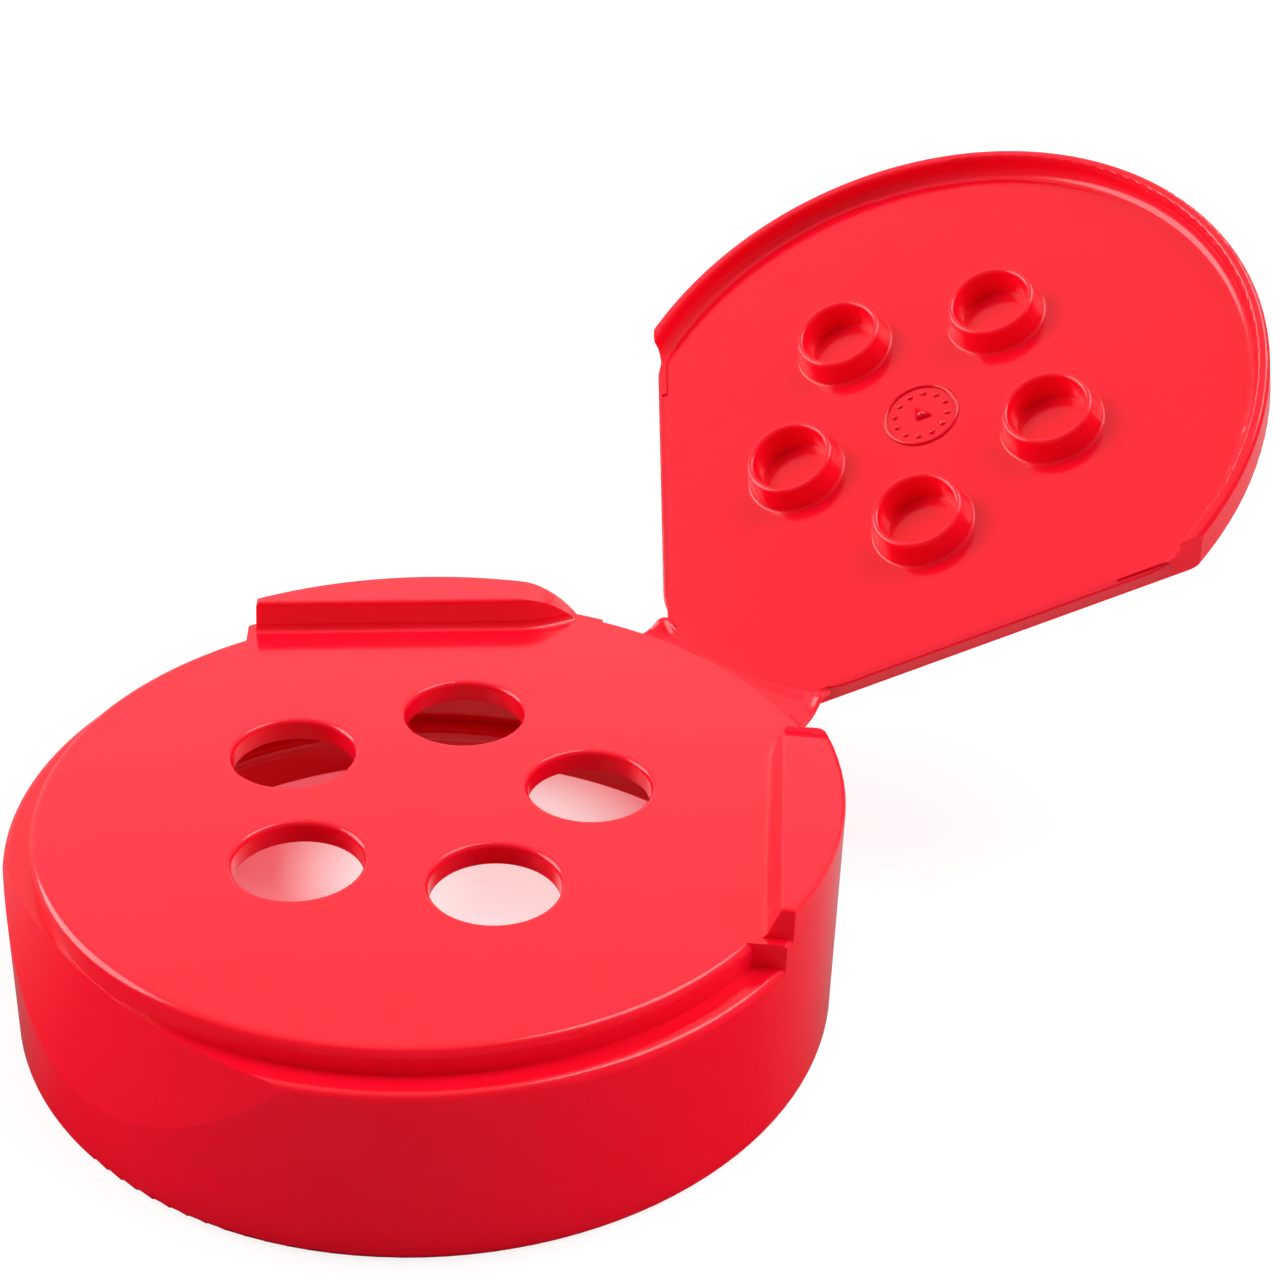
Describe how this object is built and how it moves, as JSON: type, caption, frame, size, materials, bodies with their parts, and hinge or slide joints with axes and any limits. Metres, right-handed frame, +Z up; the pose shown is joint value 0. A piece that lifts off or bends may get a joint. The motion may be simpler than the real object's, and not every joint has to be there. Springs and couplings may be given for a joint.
{
  "type": "spice_dispensing_cap",
  "caption": "Screw-on spice jar cap, glossy red, five round dispensing holes, raised side wings and a flip lid with plug rings on a moulded living hinge",
  "frame": {"origin": "centre of the skirt's open bottom edge, on the cap's own axis", "axes": "+Z up along the screw axis, +Y towards the hinge, -Y towards the thumb scoop, +X to the right"},
  "size_m": [0.0462, 0.0852, 0.0363],
  "materials": {
    "red_polypropylene": "gloss",
    "red_hinge_film": "gloss"
  },
  "bodies": {
    "base": {"cap_base": "red_polypropylene", "living_hinge": "red_hinge_film"},
    "lid": {"flip_lid": "red_polypropylene"}
  },
  "joints": [
    {"name": "lid_hinge", "type": "hinge", "parent": "base", "child": "lid", "pos_m": [0, 0.0231, 0.01058], "axis": [1, 0, 0], "range_deg": [-34.3, 145.7], "deforming": ["living_hinge"]}
  ]
}
